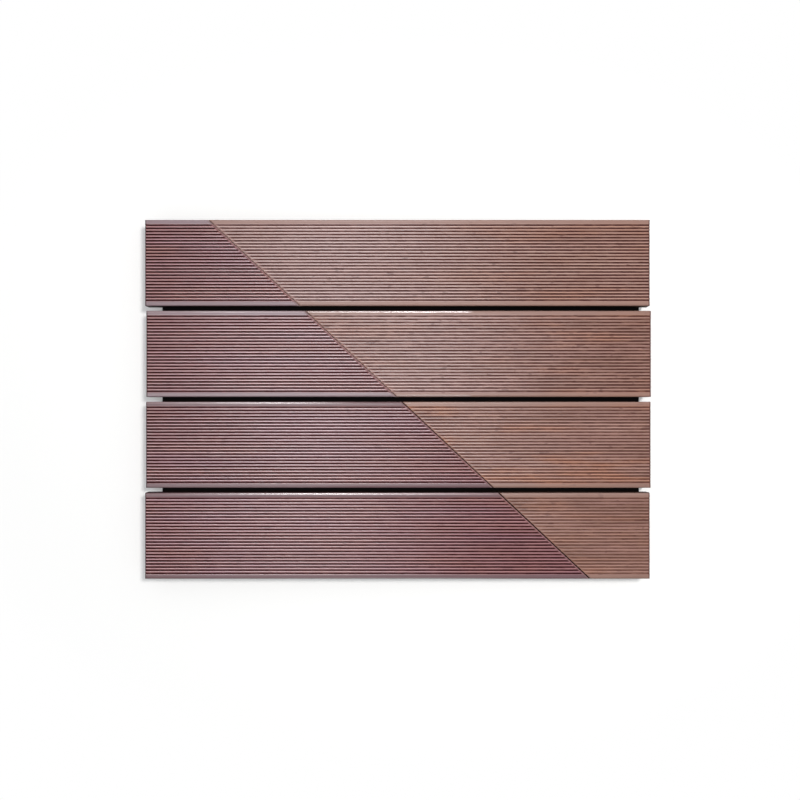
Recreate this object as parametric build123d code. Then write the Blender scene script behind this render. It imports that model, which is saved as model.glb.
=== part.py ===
from build123d import *
import os

# A panel of ribbed hardwood decking boards laid side by side and bonded to one backing sheet.
# One straight diagonal joint runs through every row, so each row is a left piece and a right piece
# with a dark seal between them.
# +X runs along the boards, +Y across them and +Z out of the ribbed face. The origin is the middle
# of the underside, and row 1 is the row furthest along +Y. All sizes are in millimetres.

# Boards: the offsets are in units of the stagger, one for each row
board_rows = 4
board_length = 848.0
board_width = 145.0
board_thickness = 25.0
arris_radius = 3.0
row_gap = 8.0
row_stagger = 1.0
row_offsets = (-1.0, 1.0, 0.5, -1.0)
end_easing = 0.8

# Ribbed face: the plain margin is the least distance from a long edge to the first groove's middle
groove_pitch = 5.25
groove_width = 2.2
groove_floor = 1.1
groove_depth = 1.8
ridge_easing = 0.4
plain_margin = 9.4

# Diagonal joint: where it meets row 1's outer edge, from the panel's left end, and the last row's
# outer edge, from the panel's right end; the grooves line up on both sides of it. The seal's drop
# is measured from the ribbed face down to the seal.
joint_left_margin = 106.0
joint_right_margin = 102.0
joint_width = 1.2
left_joint_easing = 2.4
right_joint_easing = 1.3
seal_drop = 4.0

# Backing sheet, set in from the ends and from the outer edges of the boards
backing_thickness = 12.0
backing_left_inset = 22.0
backing_right_inset = 13.0
backing_side_inset = 2.0
backing_easing = 0.6

# Derived sizes
row_pitch = board_width + row_gap
panel_width = board_rows * row_pitch - row_gap
panel_length = board_length + 2 * row_stagger
groove_steps = int((board_width - 2 * plain_margin) / groove_pitch)
joint_start = Vector(joint_left_margin - panel_length / 2, panel_width / 2)
joint_end = Vector(panel_length / 2 - joint_right_margin, -panel_width / 2)
joint_line = (joint_end - joint_start).normalized()
joint_normal = Vector(-joint_line.Y, joint_line.X)
backing_left = backing_left_inset - panel_length / 2
backing_right = panel_length / 2 - backing_right_inset
backing_width = panel_width - 2 * backing_side_inset


def groove_outline():
    # One tapered groove, cut down from the ribbed face, with the ridges beside it eased
    half = groove_width / 2
    above = half + 2 * ridge_easing
    outline = Polyline(
        (-groove_floor / 2, -groove_depth),
        (groove_floor / 2, -groove_depth),
        (half, -ridge_easing),
        (above, ridge_easing),
        (-above, ridge_easing),
        (-half, -ridge_easing),
        close=True,
    )
    return make_face(outline)


def ribbed_section():
    # Cross-section of a board: rounded arrises and an even row of grooves in the face
    blank = Rectangle(board_width, board_thickness)
    blank = fillet(blank.vertices(), arris_radius)
    groove = groove_outline()
    places = [(step - groove_steps / 2) * groove_pitch for step in range(groove_steps + 1)]
    return blank - [Pos(place, board_thickness / 2) * groove for place in places]


def saw_cut(point, outward, easing):
    # What a saw cut takes away beyond an end face, with the upper edge of that face eased
    over = board_thickness
    beyond = 2 * panel_length
    outline = Polyline(
        (0, -over),
        (0, board_thickness - easing),
        (-easing - over, board_thickness + over),
        (beyond, board_thickness + over),
        (beyond, -over),
        close=True,
    )
    plane = Plane(
        origin=point + Vector(0, 0, backing_thickness),
        x_dir=outward,
        z_dir=outward.cross(Vector(0, 0, 1)),
    )
    return extrude(plane * make_face(outline), amount=beyond, both=True)


def joint_filling():
    # What fills the joint from end to end, up to the level of the seal
    over = board_thickness
    height = board_thickness - seal_drop
    plane = Plane(
        origin=joint_start + Vector(0, 0, backing_thickness),
        x_dir=joint_normal,
        z_dir=joint_normal.cross(Vector(0, 0, 1)),
    )
    outline = Pos(0, (height - over) / 2) * Rectangle(joint_width, height + over)
    return extrude(plane * outline, amount=2 * panel_length, both=True)


os.makedirs("parts", exist_ok=True)

# Boards, and the seal in the joint of each row
section = ribbed_section()
filling = joint_filling()
for row in range(board_rows):
    middle = (panel_width - board_width) / 2 - row * row_pitch
    shift = row_offsets[row % len(row_offsets)] * row_stagger
    plane = Plane(
        origin=(shift, middle, backing_thickness + board_thickness / 2),
        x_dir=(0, 1, 0),
        z_dir=(1, 0, 0),
    )
    bar = extrude(plane * section, amount=board_length / 2 + board_thickness, both=True)
    for name, side, easing in (("left", -1, left_joint_easing), ("right", 1, right_joint_easing)):
        end = Vector(shift + side * board_length / 2, middle)
        joint = joint_start + joint_normal * side * joint_width / 2
        piece = bar - saw_cut(end, Vector(side, 0), end_easing)
        piece -= saw_cut(joint, joint_normal * -side, easing)
        export_step(piece, f"parts/board_{row + 1}_{name}.step")
    export_step(bar & filling, f"parts/joint_seal_{row + 1}.step")

# Backing sheet
sheet = Box(backing_right - backing_left, backing_width, backing_thickness)
sheet = chamfer(sheet.edges(), backing_easing)
backing = Pos((backing_left + backing_right) / 2, 0, backing_thickness / 2) * sheet
export_step(backing, "parts/backing_sheet.step")
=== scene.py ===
import bmesh
import bpy
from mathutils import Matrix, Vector


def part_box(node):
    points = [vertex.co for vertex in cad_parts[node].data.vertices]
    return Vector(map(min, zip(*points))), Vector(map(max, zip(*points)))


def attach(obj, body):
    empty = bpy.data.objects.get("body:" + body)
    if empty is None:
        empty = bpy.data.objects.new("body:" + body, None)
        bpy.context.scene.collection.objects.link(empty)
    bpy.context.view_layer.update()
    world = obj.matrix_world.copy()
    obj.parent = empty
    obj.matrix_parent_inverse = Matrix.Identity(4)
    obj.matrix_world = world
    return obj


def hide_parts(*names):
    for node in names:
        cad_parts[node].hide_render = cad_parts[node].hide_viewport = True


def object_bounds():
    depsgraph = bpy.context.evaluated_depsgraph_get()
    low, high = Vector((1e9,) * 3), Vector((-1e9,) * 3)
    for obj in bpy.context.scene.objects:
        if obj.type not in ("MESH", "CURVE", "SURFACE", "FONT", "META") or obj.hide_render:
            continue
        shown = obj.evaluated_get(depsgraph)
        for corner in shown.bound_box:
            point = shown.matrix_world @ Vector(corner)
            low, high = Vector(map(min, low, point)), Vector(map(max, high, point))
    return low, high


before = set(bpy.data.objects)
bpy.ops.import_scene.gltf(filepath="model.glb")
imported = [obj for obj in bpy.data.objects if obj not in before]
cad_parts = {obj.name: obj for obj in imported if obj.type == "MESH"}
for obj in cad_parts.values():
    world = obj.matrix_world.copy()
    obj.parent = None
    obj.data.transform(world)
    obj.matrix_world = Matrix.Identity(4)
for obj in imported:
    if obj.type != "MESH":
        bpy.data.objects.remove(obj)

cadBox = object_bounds()  # the CAD model's own box, before anything is dressed
panelMiddle = (cadBox[0] + cadBox[1]) / 2
panelHalf = (cadBox[1] - cadBox[0]) / 2
faceHeight = cadBox[1].z  # tops of the ridges
upward = Vector((0.0, 0.0, 1.0))
print("panel loaded,", len(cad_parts), "nodes, face at", round(faceHeight * 1000, 1), "mm")


# Shader maths

class Wire:  # one socket of a node tree, so that shader maths reads as plain expressions
    def __init__(self, tree, socket=None):
        self.tree = tree
        self.socket = socket

    def node(self, kind, settings=None, inputs=None, out=0):
        made = self.tree.nodes.new(kind)
        for name, value in (settings or {}).items():
            if name == "stops":
                self.setStops(made.color_ramp.elements, value)
            else:
                setattr(made, name, value)
        for name, value in (inputs or {}).items():
            if isinstance(value, Wire):
                self.tree.links.new(value.socket, made.inputs[name])
            else:
                made.inputs[name].default_value = value
        return Wire(self.tree, made.outputs[out]) if made.outputs else None

    def setStops(self, elements, stops):
        while len(elements) < len(stops):
            elements.new(1.0)
        for element, (place, shade) in zip(elements, stops):
            element.position = place
            element.color = opaque(shade)

    def maths(self, operation, first, second=0.0):
        return self.node("ShaderNodeMath", {"operation": operation}, {0: first, 1: second})

    def __add__(self, other):
        return self.maths("ADD", self, other)

    def __sub__(self, other):
        return self.maths("SUBTRACT", self, other)

    def __mul__(self, other):
        return self.maths("MULTIPLY", self, other)

    def __truediv__(self, other):
        return self.maths("DIVIDE", self, other)

    def __radd__(self, other):
        return self.maths("ADD", other, self)

    def __rsub__(self, other):
        return self.maths("SUBTRACT", other, self)

    def __rmul__(self, other):
        return self.maths("MULTIPLY", other, self)

    def __rtruediv__(self, other):
        return self.maths("DIVIDE", other, self)

    def size(self):
        return self.maths("ABSOLUTE", self)

    def rise(self, low, high):  # 0 below low, 1 above high, smooth between
        limits = {"From Min": low, "From Max": high}
        settings = {"interpolation_type": "SMOOTHSTEP"}
        return self.node("ShaderNodeMapRange", settings, {"Value": self, **limits})

    def tint(self, start, end):  # from one colour to another as this value goes from 0 to 1
        start, end = [shade if isinstance(shade, Wire) else opaque(shade) for shade in (start, end)]
        return self.node("ShaderNodeMix", {"data_type": "RGBA"}, {0: self, 6: start, 7: end}, out=2)

    def parts(self):
        split = self.node("ShaderNodeSeparateXYZ", None, {0: self})
        return [Wire(self.tree, output) for output in split.socket.node.outputs]

    def stretch(self, scale, offset=(0.0, 0.0, 0.0)):
        moved = self.node("ShaderNodeVectorMath", {"operation": "ADD"}, {0: self, 1: offset})
        return self.node("ShaderNodeVectorMath", {"operation": "MULTIPLY"}, {0: moved, 1: scale})

    def noise(self, detail=2.0, roughness=0.6):
        values = {"Vector": self, "Scale": 1.0, "Detail": detail, "Roughness": roughness}
        return self.node("ShaderNodeTexNoise", {"noise_dimensions": "3D"}, values)

    def surface(self, values):  # ends a material with one principled shader
        shader = self.node("ShaderNodeBsdfPrincipled", None, values)
        self.node("ShaderNodeOutputMaterial", None, {"Surface": shader})


def opaque(shade):
    return (*shade, 1.0)


def newMaterial(name):
    material = bpy.data.materials.new(name)
    material.use_nodes = True
    material.node_tree.nodes.clear()
    return material, Wire(material.node_tree)


def addObject(name, mesh, material):
    data = bpy.data.meshes.new(name)
    mesh.to_mesh(data)
    mesh.free()
    data.materials.append(material)
    piece = bpy.data.objects.new(name, data)
    bpy.context.scene.collection.objects.link(piece)
    return piece


def dressNode(name, material):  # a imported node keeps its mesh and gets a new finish
    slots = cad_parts[name].data.materials
    slots.clear()
    slots.append(material)


# bleached is the pale tone of the painted sheen, sheenBandReach how far the painted sheen band
# reaches
# Hardwood boards: the two woods
# cutEdge and grooveFade are distances from the middle of the joint, in metres
# In rows, bleachAt, the middle of a painted sheen band, and glint are places along the board, in
# metres
# broken says how far the dark of a groove comes and goes along it

wholeArris = {"from": (-0.5, -0.45), "to": (0.45, 0.5)}

darkWood = {
    "deep": (0.280, 0.110, 0.117),
    "body": (0.390, 0.164, 0.173),
    "bright": (0.495, 0.238, 0.249),
    "warm": (0.430, 0.168, 0.135),
    "cool": (0.365, 0.165, 0.208),
    "groove": (0.042, 0.007, 0.008),
    "paintedSheenTone": (0.585, 0.380, 0.395),
    "cut": (0.500, 0.350, 0.345),
    # side and sideStreak are painted shade for the long side faces
    "side": (0.022, 0.010, 0.009),
    "sideStreak": (0.075, 0.036, 0.034),
    "endGrain": (0.060, 0.030, 0.028),
    "marginShare": 0.9,
    "oil": 0.137,
    "sheenBandReach": 0.30,
    "cutEdge": (0.0018, 0.0030),
    "grooveFade": (0.0014, 0.0042),
    "streak": 0.7,
    "blotch": 0.5,
    "fibre": 0.5,
    "ridge": 0.16,
    "poreShare": 0.3,
    "speckShare": 0.25,
    "roughness": 0.50,
    "rows": [
        {
            "tone": -0.1, "bleach": 0.15, "bleachAt": -0.14, "warmShare": 0.55,
            "grooveShare": 1.0, "broken": 0.1, "margin": (0.300, 0.222, 0.245),
            "glint": {"share": 0.0, **wholeArris},
            "jointDark": 0.0,
        },
        {
            "tone": -0.1, "bleach": 0.2, "bleachAt": -0.12, "warmShare": 0.4,
            "grooveShare": 0.97, "broken": 0.12, "margin": (0.300, 0.222, 0.245),
            "glint": {"share": 0.2, **wholeArris},
            "jointDark": 0.0,
        },
        {
            "tone": -0.21, "bleach": 0.30, "bleachAt": -0.09, "warmShare": 0.45,
            "grooveShare": 0.96, "broken": 0.15, "margin": (0.170, 0.100, 0.110),
            "glint": {"share": 0.45, "from": (-0.6, -0.35), "to": (-0.18, -0.04)},
            "jointDark": 0.6,
        },
        {
            "tone": -0.05, "bleach": 0.34, "bleachAt": -0.12, "warmShare": 0.45,
            "grooveShare": 0.96, "broken": 0.15, "margin": (0.170, 0.100, 0.110),
            "glint": {"share": 0.95, "from": (-0.5, 0.04), "to": (0.06, 0.26)},
            "jointDark": 1.0,
        },
    ],
}

paleWood = {
    "deep": (0.288, 0.148, 0.112),
    "body": (0.410, 0.219, 0.172),
    "bright": (0.495, 0.296, 0.242),
    "warm": (0.480, 0.212, 0.125),
    "cool": (0.416, 0.223, 0.186),
    "groove": (0.112, 0.040, 0.034),
    "paintedSheenTone": (0.605, 0.426, 0.430),
    "cut": (0.440, 0.240, 0.165),
    # side and sideStreak are painted shade for the long side faces
    "side": (0.030, 0.014, 0.010),
    "sideStreak": (0.100, 0.052, 0.038),
    "endGrain": (0.085, 0.046, 0.036),
    "marginShare": 0.7,
    "oil": 0.082,
    "sheenBandReach": 0.42,
    "cutEdge": (0.0012, 0.0022),
    "grooveFade": (0.0012, 0.0060),
    "streak": 1.0,
    "blotch": 0.9,
    "fibre": 0.8,
    "ridge": 0.2,
    "poreShare": 0.7,
    "speckShare": 0.5,
    "roughness": 0.55,
    "rows": [
        {
            "tone": 0.12, "bleach": 0.66, "bleachAt": -0.14, "warmShare": 0.45,
            "grooveShare": 1.0, "broken": 0.25, "margin": (0.320, 0.190, 0.158),
            "glint": {"share": 0.0, **wholeArris},
            "jointDark": 0.0,
        },
        {
            "tone": -0.13, "bleach": 0.42, "bleachAt": -0.02, "warmShare": 0.55,
            "grooveShare": 0.9, "broken": 0.45, "margin": (0.320, 0.190, 0.158),
            "glint": {"share": 0.95, "from": (-0.35, 0.1), "to": (0.116, 0.128)},
            "jointDark": 0.0,
        },
        {
            "tone": -0.11, "bleach": 0.08, "bleachAt": 0.16, "warmShare": 0.95,
            "grooveShare": 0.78, "broken": 0.35, "margin": (0.285, 0.168, 0.139),
            "glint": {"share": 0.1, **wholeArris},
            "jointDark": 0.6,
        },
        {
            "tone": -0.17, "bleach": 0.0, "bleachAt": 0.3, "warmShare": 0.35,
            "grooveShare": 0.63, "broken": 0.45, "margin": (0.285, 0.168, 0.139),
            "glint": {"share": 0.1, **wholeArris},
            "jointDark": 1.0,
        },
    ],
}

# Hardwood boards: what both woods share
# A pair of limits is where a pattern begins to show and where it shows in full

woodFinish = {
    "patterns": {  # noise, with its repeats a metre along, across and through the board
        "streak": {"repeats": (3.5, 60.0, 60.0), "detail": 3.0, "roughness": 0.55},
        "fibre": {"repeats": (22.0, 650.0, 650.0), "detail": 2.0, "roughness": 0.6},
        "warmth": {"repeats": (5.0, 36.0, 36.0), "detail": 2.0, "roughness": 0.5},
        "blotch": {"repeats": (14.0, 48.0, 48.0), "detail": 2.0, "roughness": 0.55},
        "pore": {"repeats": (150.0, 700.0, 700.0), "detail": 1.0, "roughness": 0.5},
        "speck": {"repeats": (55.0, 150.0, 150.0), "detail": 1.0, "roughness": 0.5},
        "breaks": {"repeats": (45.0, 190.0, 190.0), "detail": 2.0, "roughness": 0.6},
        "endSpeckle": {"repeats": (900.0, 900.0, 900.0), "detail": 2.0, "roughness": 0.6},
    },
    "patternShift": (3.1, 1.7, 0.9),  # metres from one board's pattern to the next one's
    "ridgeShift": 31.0,
    "toneStops": (0.1, 0.5, 0.9),  # for deep, body and bright
    "warmLimits": (0.5, 0.66),
    "coolLimits": (0.36, 0.48),
    "coolShare": 0.5,
    "poreLimits": (0.62, 0.72),
    "speckLimits": (0.67, 0.74),
    "breakLimits": (0.45, 0.65),
    "marginFade": (0.0006, 0.0012),  # metres outside the last groove
    "arrisFade": (1.0, 0.9),  # in arris radii from the side face
    # how far the painted highlight on the upper arris goes towards the pale tone
    "paintedGlintShare": 0.5,
    "cutShare": 0.35,
    # where the painted shade along the joint begins and ends
    "paintedJointShade": (0.0009, 0.0014),  # metres from the middle of the joint
    "grooveShade": (0.005, 0.10),  # in groove depths below the ridges
    "faceLimits": (1.05, 1.3),  # in groove depths, below this nothing counts as the ribbed face
    "slantLimits": (0.55, 0.7),  # how far a surface faces along the board
    "endLimits": (0.8, 0.9),  # the same for a sawn end
    # how much the painted sheen band lightens the grooves
    "sheenBandLift": 0.2,
    "fadedDark": 0.1,  # dark that a groove keeps at the joint
    "sideFade": (0.0004, 0.0001),  # metres from the side face
    "sideLimits": (0.38, 0.62),
    "endLine": (0.0012, 0.0026),  # metres from the square end
    "endLineShare": 0.9,
    "endShare": 0.85,
    "pithDepth": 0.035,  # metres below the underside of the panel
    "pithStep": 0.012,  # metres to one side or the other
    "pithSteps": 5,
    "ringRate": 1700.0,
    "ringWander": 4.0,
    "ringShare": 0.6,
    "speckleLimits": (0.3, 0.7),
    "sheen": 0.05,
    "sheenGrain": 0.08,
    "roughGrain": 0.2,
    "grooveRough": 0.35,
    "bumpStrength": 0.2,
    "bumpDepth": 0.0004,
    "poreDepth": 0.6,
    "arrisSmooth": 0.85,
    "specular": 0.1,
    "coatRoughness": 0.33,
    "coatIor": 2.3,
}

# Hardwood boards: shape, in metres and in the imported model's frame

boardForm = {
    "width": 0.145,
    "thickness": 0.025,
    "arris": 0.003,
    "arrisSteps": 7,
    "grooves": 25,
    "pitch": 0.00525,
    "grooveTop": 0.00251,  # width where the walls would meet the face
    "grooveFloor": 0.0011,
    "grooveDepth": 0.0018,
    "ridgeRound": 0.0006,
    "ridgeSteps": 3,
    "floorRound": 0.0003,
    "floorSteps": 2,
    "endEasing": 0.0008,
    "jointLeftMargin": 0.106,  # from the panel's left end, on the outer edge of row 1
    "jointRightMargin": 0.102,  # from the panel's right end, on the outer edge of row 4
    "jointWidth": 0.0012,
    "leftEasing": 0.0024,
    "rightEasing": 0.0013,
    "smoothAngle": 0.6,  # radians, above this an edge stays crisp
    "spare": 0.05,  # raw length beyond each end, for the saw to take off
    "endClearance": 1e-6,  # keeps the square ends inside the CAD box
    "tolerance": 1e-5,
    "sawTolerance": 1e-7,
}

jointStart = Vector((cadBox[0].x + boardForm["jointLeftMargin"], cadBox[1].y, 0.0))
jointEnd = Vector((cadBox[1].x - boardForm["jointRightMargin"], cadBox[0].y, 0.0))
jointNormal = upward.cross(jointEnd - jointStart).normalized()  # towards the paler half


def sectionCorners(form, middle, base):  # once round the cross-section, with sharp corners
    half, top = form["width"] / 2, base + form["thickness"]
    corners = [(middle - half, base), (middle + half, base), (middle + half, top)]
    for step in range(form["grooves"]):
        centre = middle + ((form["grooves"] - 1) / 2 - step) * form["pitch"]
        for across, down in (
            (form["grooveTop"] / 2, 0.0),
            (form["grooveFloor"] / 2, form["grooveDepth"]),
            (-form["grooveFloor"] / 2, form["grooveDepth"]),
            (-form["grooveTop"] / 2, 0.0),
        ):
            corners.append((centre + across, top - down))
    corners.append((middle - half, top))
    return corners


def halfRibs(form):  # from the middle of a board to the outer edge of its last groove
    return ((form["grooves"] - 1) * form["pitch"] + form["grooveTop"]) / 2


def roundEdges(mesh, edges, amount, steps):
    bmesh.ops.bevel(
        mesh, geom=edges, offset=amount, offset_type="OFFSET", affect="EDGES",
        segments=steps, profile=0.5, material=-1,
    )


def sawOff(mesh, point, outward, tolerance):
    everything = mesh.verts[:] + mesh.edges[:] + mesh.faces[:]
    bmesh.ops.bisect_plane(
        mesh, geom=everything, dist=tolerance, plane_co=point, plane_no=outward, clear_outer=True
    )
    bmesh.ops.holes_fill(mesh, edges=[edge for edge in mesh.edges if edge.is_boundary], sides=0)


def sawEnd(mesh, point, outward, easing, tolerance):  # a cut straight down, then its eased upper edge
    sawOff(mesh, point, outward, tolerance)
    sawOff(mesh, point + upward * (faceHeight - easing - point.z), outward + upward, tolerance)


def rawBar(form, low, high):  # the sharp section drawn out past both ends of the box
    mesh = bmesh.new()
    start, length = low.x - form["spare"], high.x - low.x + 2 * form["spare"]
    corners = sectionCorners(form, (low.y + high.y) / 2, low.z)
    section = mesh.faces.new([mesh.verts.new((start, y, z)) for y, z in corners])
    grown = bmesh.ops.extrude_face_region(mesh, geom=[section])["geom"]
    moved = [part for part in grown if isinstance(part, bmesh.types.BMVert)]
    bmesh.ops.translate(mesh, verts=moved, vec=(length, 0.0, 0.0))
    bmesh.ops.recalc_face_normals(mesh, faces=mesh.faces[:])
    return mesh


def boardMesh(form, low, high, side):
    mesh = rawBar(form, low, high)
    middle, near = (low.y + high.y) / 2, form["tolerance"]
    ribs = halfRibs(form) + near

    def longEdges(test):  # edges along the board, told by how far out and how high they lie
        return [
            edge for edge in mesh.edges
            if abs(edge.verts[0].co.x - edge.verts[1].co.x) > form["spare"]
            and test(abs(edge.verts[0].co.y - middle), edge.verts[0].co.z)
        ]

    arrises = longEdges(lambda out, height: out > form["width"] / 2 - near)
    roundEdges(mesh, arrises, form["arris"], form["arrisSteps"])
    floorLevel = high.z - form["grooveDepth"]
    floors = longEdges(lambda out, height: out < ribs and abs(height - floorLevel) < near)
    roundEdges(mesh, floors, form["floorRound"], form["floorSteps"])
    ridges = longEdges(lambda out, height: out < ribs and abs(height - high.z) < near)
    roundEdges(mesh, ridges, form["ridgeRound"], form["ridgeSteps"])

    endPlace = (low.x if side < 0 else high.x) - side * form["endClearance"]
    end = Vector((endPlace, middle, low.z))
    joint = jointStart + jointNormal * side * form["jointWidth"] / 2
    jointEasing = form["leftEasing"] if side < 0 else form["rightEasing"]
    sawEnd(mesh, end, Vector((side, 0.0, 0.0)), form["endEasing"], form["sawTolerance"])
    sawEnd(mesh, joint, jointNormal * -side, jointEasing, form["sawTolerance"])
    for face in mesh.faces:
        face.smooth = True
    for edge in mesh.edges:
        edge.smooth = edge.is_manifold and edge.calc_face_angle(0.0) < form["smoothAngle"]
    return mesh


# Hardwood boards: materials
# spot holds a board's row, its middle and square end in metres, and its seed

def limits(pair, start=0.0, unit=1.0):
    return [start + value * unit for value in pair]


def grainPatterns(place, seed):
    shift = tuple(seed * step for step in woodFinish["patternShift"])
    return {
        name: place.stretch(made["repeats"], shift).noise(made["detail"], made["roughness"])
        for name, made in woodFinish["patterns"].items()
    }


def ridgeTones(wood, across, form, seed):  # each ridge a little lighter or darker than the next
    ridge = wood.maths("FLOOR", across / form["pitch"]) + seed * woodFinish["ridgeShift"]
    return wood.node("ShaderNodeTexWhiteNoise", {"noise_dimensions": "1D"}, {"W": ridge})


def growthRings(wood, place, streak, spot):  # round a point below the board
    steps = woodFinish["pithSteps"]
    aside = woodFinish["pithStep"] * (spot["seed"] % steps - steps // 2)
    fromPith = place.stretch((0.0, 1.0, 1.0), (0.0, aside - spot["middle"], woodFinish["pithDepth"]))
    radius = wood.node("ShaderNodeVectorMath", {"operation": "LENGTH"}, {0: fromPith}, out="Value")
    wave = radius * woodFinish["ringRate"] + streak * woodFinish["ringWander"]
    return wood.maths("SINE", wave) * 0.5 + 0.5


def boardZones(wood, place, form, spot):  # masks are 1 inside the zone that they are named for
    x, y, z = place.parts()
    across, below = y - spot["middle"], faceHeight - z
    outward = across.size()
    halfWidth, depth = form["width"] / 2, form["grooveDepth"]
    facing = wood.node("ShaderNodeNewGeometry", out="Normal").parts()[0].size()
    dot = {"operation": "DOT_PRODUCT"}
    offJoint = wood.node("ShaderNodeVectorMath", dot, {0: place, 1: jointNormal}, out="Value")

    ribbed = 1.0 - outward.rise(*limits(woodFinish["marginFade"], halfRibs(form)))
    face = 1.0 - below.rise(*limits(woodFinish["faceLimits"], unit=depth))
    shaded = below.rise(*limits(woodFinish["grooveShade"], unit=depth))
    lengthwise = 1.0 - facing.rise(*woodFinish["slantLimits"])
    endFace = facing.rise(*woodFinish["endLimits"])
    nearEnd = 1.0 - (x - spot["end"]).size().rise(*woodFinish["endLine"])
    return {
        "along": x,
        "across": across,
        "fromJoint": (offJoint - jointNormal.dot(jointStart)).size(),
        "ribbed": ribbed,
        "face": face,
        "groove": ribbed * shaded * face * lengthwise,
        "arris": outward.rise(*limits(woodFinish["arrisFade"], halfWidth, -form["arris"])),
        "upper": across.rise(0.0, form["arris"]),
        "side": outward.rise(*limits(woodFinish["sideFade"], halfWidth, -1.0)),
        "endFace": endFace,
        "endLine": nearEnd * (1.0 - endFace),
    }


def boardMarks(look, rowLook, grain, zones):
    along, glint = zones["along"], rowLook["glint"]
    polished = along.rise(*glint["from"]) * (1.0 - along.rise(*glint["to"]))
    # A band along each row is painted paler towards its middle, a painted sheen
    fromSheenBand = (along - rowLook["bleachAt"]).size()
    return {
        "bleach": (1.0 - fromSheenBand.rise(0.0, look["sheenBandReach"])) * rowLook["bleach"],
        "pores": grain["pore"].rise(*woodFinish["poreLimits"]),
        "specks": grain["speck"].rise(*woodFinish["speckLimits"]),
        "shine": zones["arris"] * glint["share"] * polished,
    }


def bareColour(wood, look, rowLook, grain):
    level = 0.5 + rowLook["tone"]
    for name in ("streak", "blotch", "fibre", "ridge"):
        level = level + (grain[name] - 0.5) * look[name]
    tones = zip(woodFinish["toneStops"], (look["deep"], look["body"], look["bright"]))
    base = wood.node("ShaderNodeValToRGB", {"stops": list(tones)}, {0: level})
    warm = grain["warmth"].rise(*woodFinish["warmLimits"]) * rowLook["warmShare"]
    cool = (1.0 - grain["warmth"].rise(*woodFinish["coolLimits"])) * woodFinish["coolShare"]
    return cool.tint(warm.tint(base, look["warm"]), look["cool"])


def faceColour(base, look, rowLook, grain, zones, marks):
    # Painted sheen: a band along the row is tinted towards a pale tone
    base = marks["bleach"].tint(base, look["paintedSheenTone"])
    base = (marks["pores"] * look["poreShare"]).tint(base, look["deep"])
    base = (marks["specks"] * look["speckShare"]).tint(base, look["groove"])

    # Plain margins beside the ribs are greyer, partly their own tone and partly painted sheen, and a
    # stretch of the upper arris, on the side towards the lamps, is painted pale as a painted
    # highlight
    base = ((1.0 - zones["ribbed"]) * look["marginShare"]).tint(base, rowLook["margin"])
    paintedGlint = marks["shine"] * zones["upper"] * woodFinish["paintedGlintShare"]
    base = paintedGlint.tint(base, look["paintedSheenTone"])

    # Beside the diagonal joint the edge is painted paler, and the grooves lose their dark there
    fromJoint, faded = zones["fromJoint"], woodFinish["fadedDark"]
    paleBorder = (1.0 - fromJoint.rise(*look["cutEdge"])) * woodFinish["cutShare"]
    base = paleBorder.tint(base, look["cut"])
    kept = faded + fromJoint.rise(*look["grooveFade"]) * (1.0 - faded)

    # Grooves are painted darker than the ridges, partly their own dark and partly painted shade in
    # the recess, and in some rows so is the edge right at the joint
    breaks = grain["breaks"].rise(*woodFinish["breakLimits"]) * rowLook["broken"]
    dark = zones["groove"] * rowLook["grooveShare"] * kept * (1.0 - breaks)
    # Inside the painted sheen band the grooves are painted less dark
    dark = dark * (1.0 - marks["bleach"] * woodFinish["sheenBandLift"])
    base = dark.tint(base, look["groove"])
    # Painted shade: in the lower rows the edge right at the joint is painted dark, as the shade in
    # the joint
    paintedJointShade = (1.0 - fromJoint.rise(*woodFinish["paintedJointShade"])) * rowLook["jointDark"]
    return paintedJointShade.tint(base, look["groove"])


def edgeColour(base, look, grain, zones, rings):
    # Long side faces are painted near black, a painted shade for the narrow gaps between the boards,
    # and a thin line along the square end is dark
    streaks = (grain["streak"] * 0.5 + grain["fibre"] * 0.5).rise(*woodFinish["sideLimits"])
    base = zones["side"].tint(base, streaks.tint(look["side"], look["sideStreak"]))
    base = (zones["endLine"] * woodFinish["endLineShare"]).tint(base, look["groove"])

    # Sawn ends show growth rings and a fine speckle
    speckle = grain["endSpeckle"].rise(*woodFinish["speckleLimits"])
    mottle = speckle * (1.0 - woodFinish["ringShare"]) + rings * woodFinish["ringShare"]
    endTone = mottle.tint(look["endGrain"], look["deep"])
    return (zones["endFace"] * woodFinish["endShare"]).tint(base, endTone)


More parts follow.
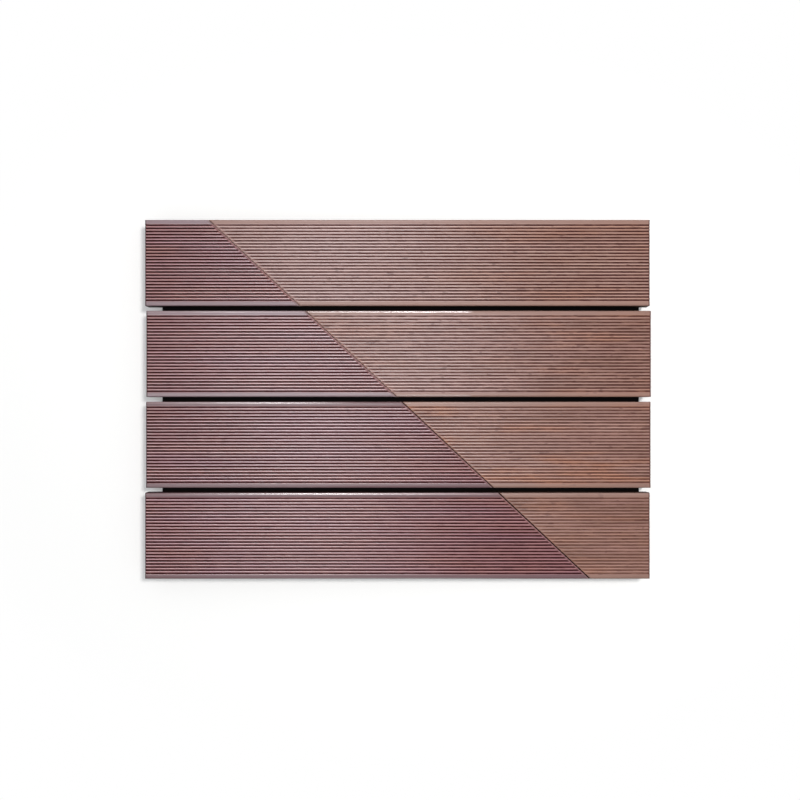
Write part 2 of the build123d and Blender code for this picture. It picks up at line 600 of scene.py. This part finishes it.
def woodMaterial(name, look, form, spot):
    material, wood = newMaterial(name)
    rowLook = look["rows"][spot["row"] - 1]
    place = wood.node("ShaderNodeTexCoord", out="Object")
    zones = boardZones(wood, place, form, spot)
    grain = grainPatterns(place, spot["seed"])
    grain["ridge"] = ridgeTones(wood, zones["across"], form, spot["seed"])
    marks = boardMarks(look, rowLook, grain, zones)
    rings = growthRings(wood, place, grain["streak"], spot)
    base = bareColour(wood, look, rowLook, grain)
    base = faceColour(base, look, rowLook, grain, zones, marks)
    base = edgeColour(base, look, grain, zones, rings)

    # Oiled ridges and arrises catch the light, the grooves stay dull
    fibre, groove, arris = grain["fibre"] - 0.5, zones["groove"], zones["arris"]
    ridges = (1.0 - groove) * zones["face"] * (1.0 - zones["side"])
    uneven = fibre * (1.0 - arris) * woodFinish["sheenGrain"]
    coat = ridges * (woodFinish["sheen"] + zones["ribbed"] * look["oil"] + uneven + marks["shine"])
    rough = look["roughness"] + fibre * woodFinish["roughGrain"] + groove * woodFinish["grooveRough"]
    relief = grain["fibre"] - marks["pores"] * woodFinish["poreDepth"]
    relief = relief * (1.0 - arris * woodFinish["arrisSmooth"])
    bumpSize = {"Strength": woodFinish["bumpStrength"], "Distance": woodFinish["bumpDepth"]}
    wood.surface({
        "Base Color": base,
        "Roughness": rough,
        "Normal": wood.node("ShaderNodeBump", None, {**bumpSize, "Height": relief}),
        "Specular IOR Level": woodFinish["specular"],
        "Coat Weight": coat,
        "Coat Roughness": woodFinish["coatRoughness"],
        "Coat IOR": woodFinish["coatIor"],
    })
    return material


# Hardwood boards: a dark and a paler one in each row

boardHalves = {
    "left": {"side": -1, "look": darkWood, "slot": "dark_hardwood", "seed": 0},
    "right": {"side": 1, "look": paleWood, "slot": "pale_hardwood", "seed": 10},
}

for row in range(1, len(darkWood["rows"]) + 1):
    for half, made in boardHalves.items():
        nodeName = f"board_{row}_{half}"
        low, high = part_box(nodeName)
        spot = {
            "row": row,
            "middle": (low.y + high.y) / 2,
            "end": low.x if made["side"] < 0 else high.x,
            "seed": made["seed"] + row,
        }
        finish = woodMaterial(f"{half}Wood{row}", made["look"], boardForm, spot)
        board = addObject(f"{half}Board{row}", boardMesh(boardForm, low, high, made["side"]), finish)
        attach(board, "root")
        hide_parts(nodeName)
        print("board", row, half, len(board.data.polygons), "faces")


# Black backing sheet

sheetLook = {
    "face": (0.004, 0.0015, 0.001),
    "ply": (0.020, 0.012, 0.009),
    "plyStep": 0.0024,
    "plyLimits": (0.45, 0.55),  # in layers, where one ply meets the next
    "flatLimits": (0.3, 0.6),  # how far a surface faces up or down, from an edge to a flat face
    "grain": (400.0, 400.0, 400.0),
    "roughGrain": 0.15,
    "roughness": 0.75,
    "specular": 0.05,
}


def sheetMaterial():
    material, sheet = newMaterial("blackSheet")
    place = sheet.node("ShaderNodeTexCoord", out="Object")
    flat = sheet.node("ShaderNodeNewGeometry", out="Normal").parts()[2].size()
    layers = sheet.maths("FRACT", place.parts()[2] / sheetLook["plyStep"])
    edge = (1.0 - flat.rise(*sheetLook["flatLimits"])) * layers.rise(*sheetLook["plyLimits"])
    grain = place.stretch(sheetLook["grain"]).noise()
    sheet.surface({
        "Base Color": edge.tint(sheetLook["face"], sheetLook["ply"]),
        "Roughness": sheetLook["roughness"] + grain * sheetLook["roughGrain"],
        "Specular IOR Level": sheetLook["specular"],
    })
    return material


dressNode("backing_sheet", sheetMaterial())
print("backing dressed")


# Dark seals in the diagonal joint

sealLook = {
    "body": (0.014, 0.006, 0.005),
    "top": {  # upward faces of the seals in the upper rows are painted pale, a painted sheen
        "joint_seal_1": (0.430, 0.345, 0.335),
        "joint_seal_2": (0.430, 0.345, 0.335),
        "joint_seal_3": (0.100, 0.055, 0.048),
        "joint_seal_4": (0.014, 0.006, 0.005),
    },
    "topLimits": (0.5, 0.8),  # how far a surface faces up, from the body colour to the painted top colour
    "grain": (500.0, 500.0, 500.0),
    "mottle": 0.25,
    "mottleLimits": (0.35, 0.65),
    "roughness": 0.8,
    "specular": 0.2,
}


def sealMaterial(name, top):
    material, seal = newMaterial(name)
    place = seal.node("ShaderNodeTexCoord", out="Object")
    speck = place.stretch(sealLook["grain"]).noise().rise(*sealLook["mottleLimits"])
    facingUp = seal.node("ShaderNodeNewGeometry", out="Normal").parts()[2].rise(*sealLook["topLimits"])
    # Surfaces facing up take the top colour, a painted sheen in the upper rows
    cover = facingUp * (1.0 - speck * sealLook["mottle"])
    seal.surface({
        "Base Color": cover.tint(sealLook["body"], top),
        "Roughness": sealLook["roughness"],
        "Specular IOR Level": sealLook["specular"],
    })
    return material


for name, top in sealLook["top"].items():
    dressNode(name, sealMaterial(f"{name}_finish", top))
print("joint seals dressed")


# Floor

floorLook = {
    "half": 6.0,
    "colour": (0.86, 0.86, 0.86),
    "lift": 0.27,  # own light that only the camera sees
    "fade": (1.5, 2.1),  # in half panels, from floor that takes the shadow to plain white
}


def floorMaterial():
    material, floor = newMaterial("paleFloor")
    halfPanels = (1 / panelHalf.x, 1 / panelHalf.y, 0.0)
    place = floor.node("ShaderNodeTexCoord", out="Object").stretch(halfPanels)
    distance = floor.node("ShaderNodeVectorMath", {"operation": "LENGTH"}, {0: place}, out="Value")
    seen = floor.node("ShaderNodeLightPath", out="Is Camera Ray")
    paint = floor.node("ShaderNodeBsdfDiffuse", None, {"Color": opaque(floorLook["colour"])})
    glow = floor.node("ShaderNodeEmission", None, {"Strength": seen * floorLook["lift"]})
    near = floor.node("ShaderNodeAddShader", None, {0: paint, 1: glow})
    white = floor.node("ShaderNodeEmission", None, {"Strength": 1.0})
    far = distance.rise(*floorLook["fade"]) * seen
    mixed = floor.node("ShaderNodeMixShader", None, {0: far, 1: near, 2: white})
    floor.node("ShaderNodeOutputMaterial", None, {"Surface": mixed})
    return material


floorMesh = bmesh.new()
bmesh.ops.create_grid(floorMesh, x_segments=1, y_segments=1, size=floorLook["half"])
addObject("floor", floorMesh, floorMaterial())


# Surroundings: soft fill for the panel, plain white for the camera

worldLook = {
    "fill": 0.42,
    "colour": (0.95, 0.98, 1.0),
    "backdrop": (1.0, 1.0, 1.0),
}


def studioWorld():
    world = bpy.data.worlds.new("studio")
    world.use_nodes = True
    world.node_tree.nodes.clear()
    sky = Wire(world.node_tree)
    seen = sky.node("ShaderNodeLightPath", out="Is Camera Ray")
    soft = {"Color": opaque(worldLook["colour"]), "Strength": worldLook["fill"]}
    plain = {"Color": opaque(worldLook["backdrop"]), "Strength": 1.0}
    fill = sky.node("ShaderNodeBackground", None, soft)
    white = sky.node("ShaderNodeBackground", None, plain)
    surround = sky.node("ShaderNodeMixShader", None, {0: seen, 1: fill, 2: white})
    sky.node("ShaderNodeOutputWorld", None, {"Surface": surround})
    return world


bpy.context.scene.world = studioWorld()
print("floor and surroundings made")


# Lamps: the two cards only show as a sheen on the wood, the softbox and the world give the light

lamps = {
    "overheadSoftbox": {
        "place": (1.50, 0.95, 4.0), "size": (0.75, 0.75), "power": 112.0, "colour": (1.0, 0.98, 0.95),
        "diffuse": True, "gloss": False,
    },
    "sheenCard": {
        "place": (-0.33, -0.08, 2.5), "size": (0.3, 1.6), "power": 88.0, "colour": (0.95, 0.97, 1.0),
        "diffuse": False, "gloss": True,
    },
    "backCard": {
        "place": (-0.04, 1.6, 2.0), "size": (1.0, 0.1), "power": 92.0, "colour": (1.0, 1.0, 1.0),
        "diffuse": False, "gloss": True,
    },
}

for name, lamp in lamps.items():
    light = bpy.data.lights.new(name, "AREA")
    light.shape = "RECTANGLE"
    light.size, light.size_y = lamp["size"]
    light.energy = lamp["power"]
    light.color = lamp["colour"]
    holder = bpy.data.objects.new(name, light)
    bpy.context.scene.collection.objects.link(holder)
    holder.location = lamp["place"]
    aim = panelMiddle - Vector(lamp["place"])
    holder.rotation_euler = aim.to_track_quat("-Z", "Y").to_euler()
    holder.visible_camera = False
    holder.visible_diffuse = lamp["diffuse"]
    holder.visible_glossy = lamp["gloss"]
print("lamps placed")


# Camera, straight above the panel

cameraSet = {
    "distance": 1.40,  # from the lens to the tops of the ridges
    "pixel": 0.001680,  # metres that one pixel covers on the ridges
    "imageSize": 800,
    "panelColumn": 398.0,  # where the panel's middle falls in the image
    "panelRow": 399.3,
    "axisRow": 413.7,  # where the lens axis falls
    "sensor": 36.0,
}

imageMiddle = cameraSet["imageSize"] / 2
imageSpan = cameraSet["imageSize"] * cameraSet["pixel"]  # metres across the image
cameraData = bpy.data.cameras.new("camera")
cameraData.sensor_width = cameraSet["sensor"]
cameraData.lens = cameraSet["sensor"] * cameraSet["distance"] / imageSpan
cameraData.shift_y = (cameraSet["axisRow"] - imageMiddle) / cameraSet["imageSize"]
camera = bpy.data.objects.new("camera", cameraData)
bpy.context.scene.collection.objects.link(camera)
camera.location = (
    panelMiddle.x + (imageMiddle - cameraSet["panelColumn"]) * cameraSet["pixel"],
    panelMiddle.y + (cameraSet["panelRow"] - cameraSet["axisRow"]) * cameraSet["pixel"],
    faceHeight + cameraSet["distance"],
)
bpy.context.scene.camera = camera
bpy.context.scene.view_settings.view_transform = "Standard"
print("camera set, lens", round(cameraData.lens, 2), "mm")
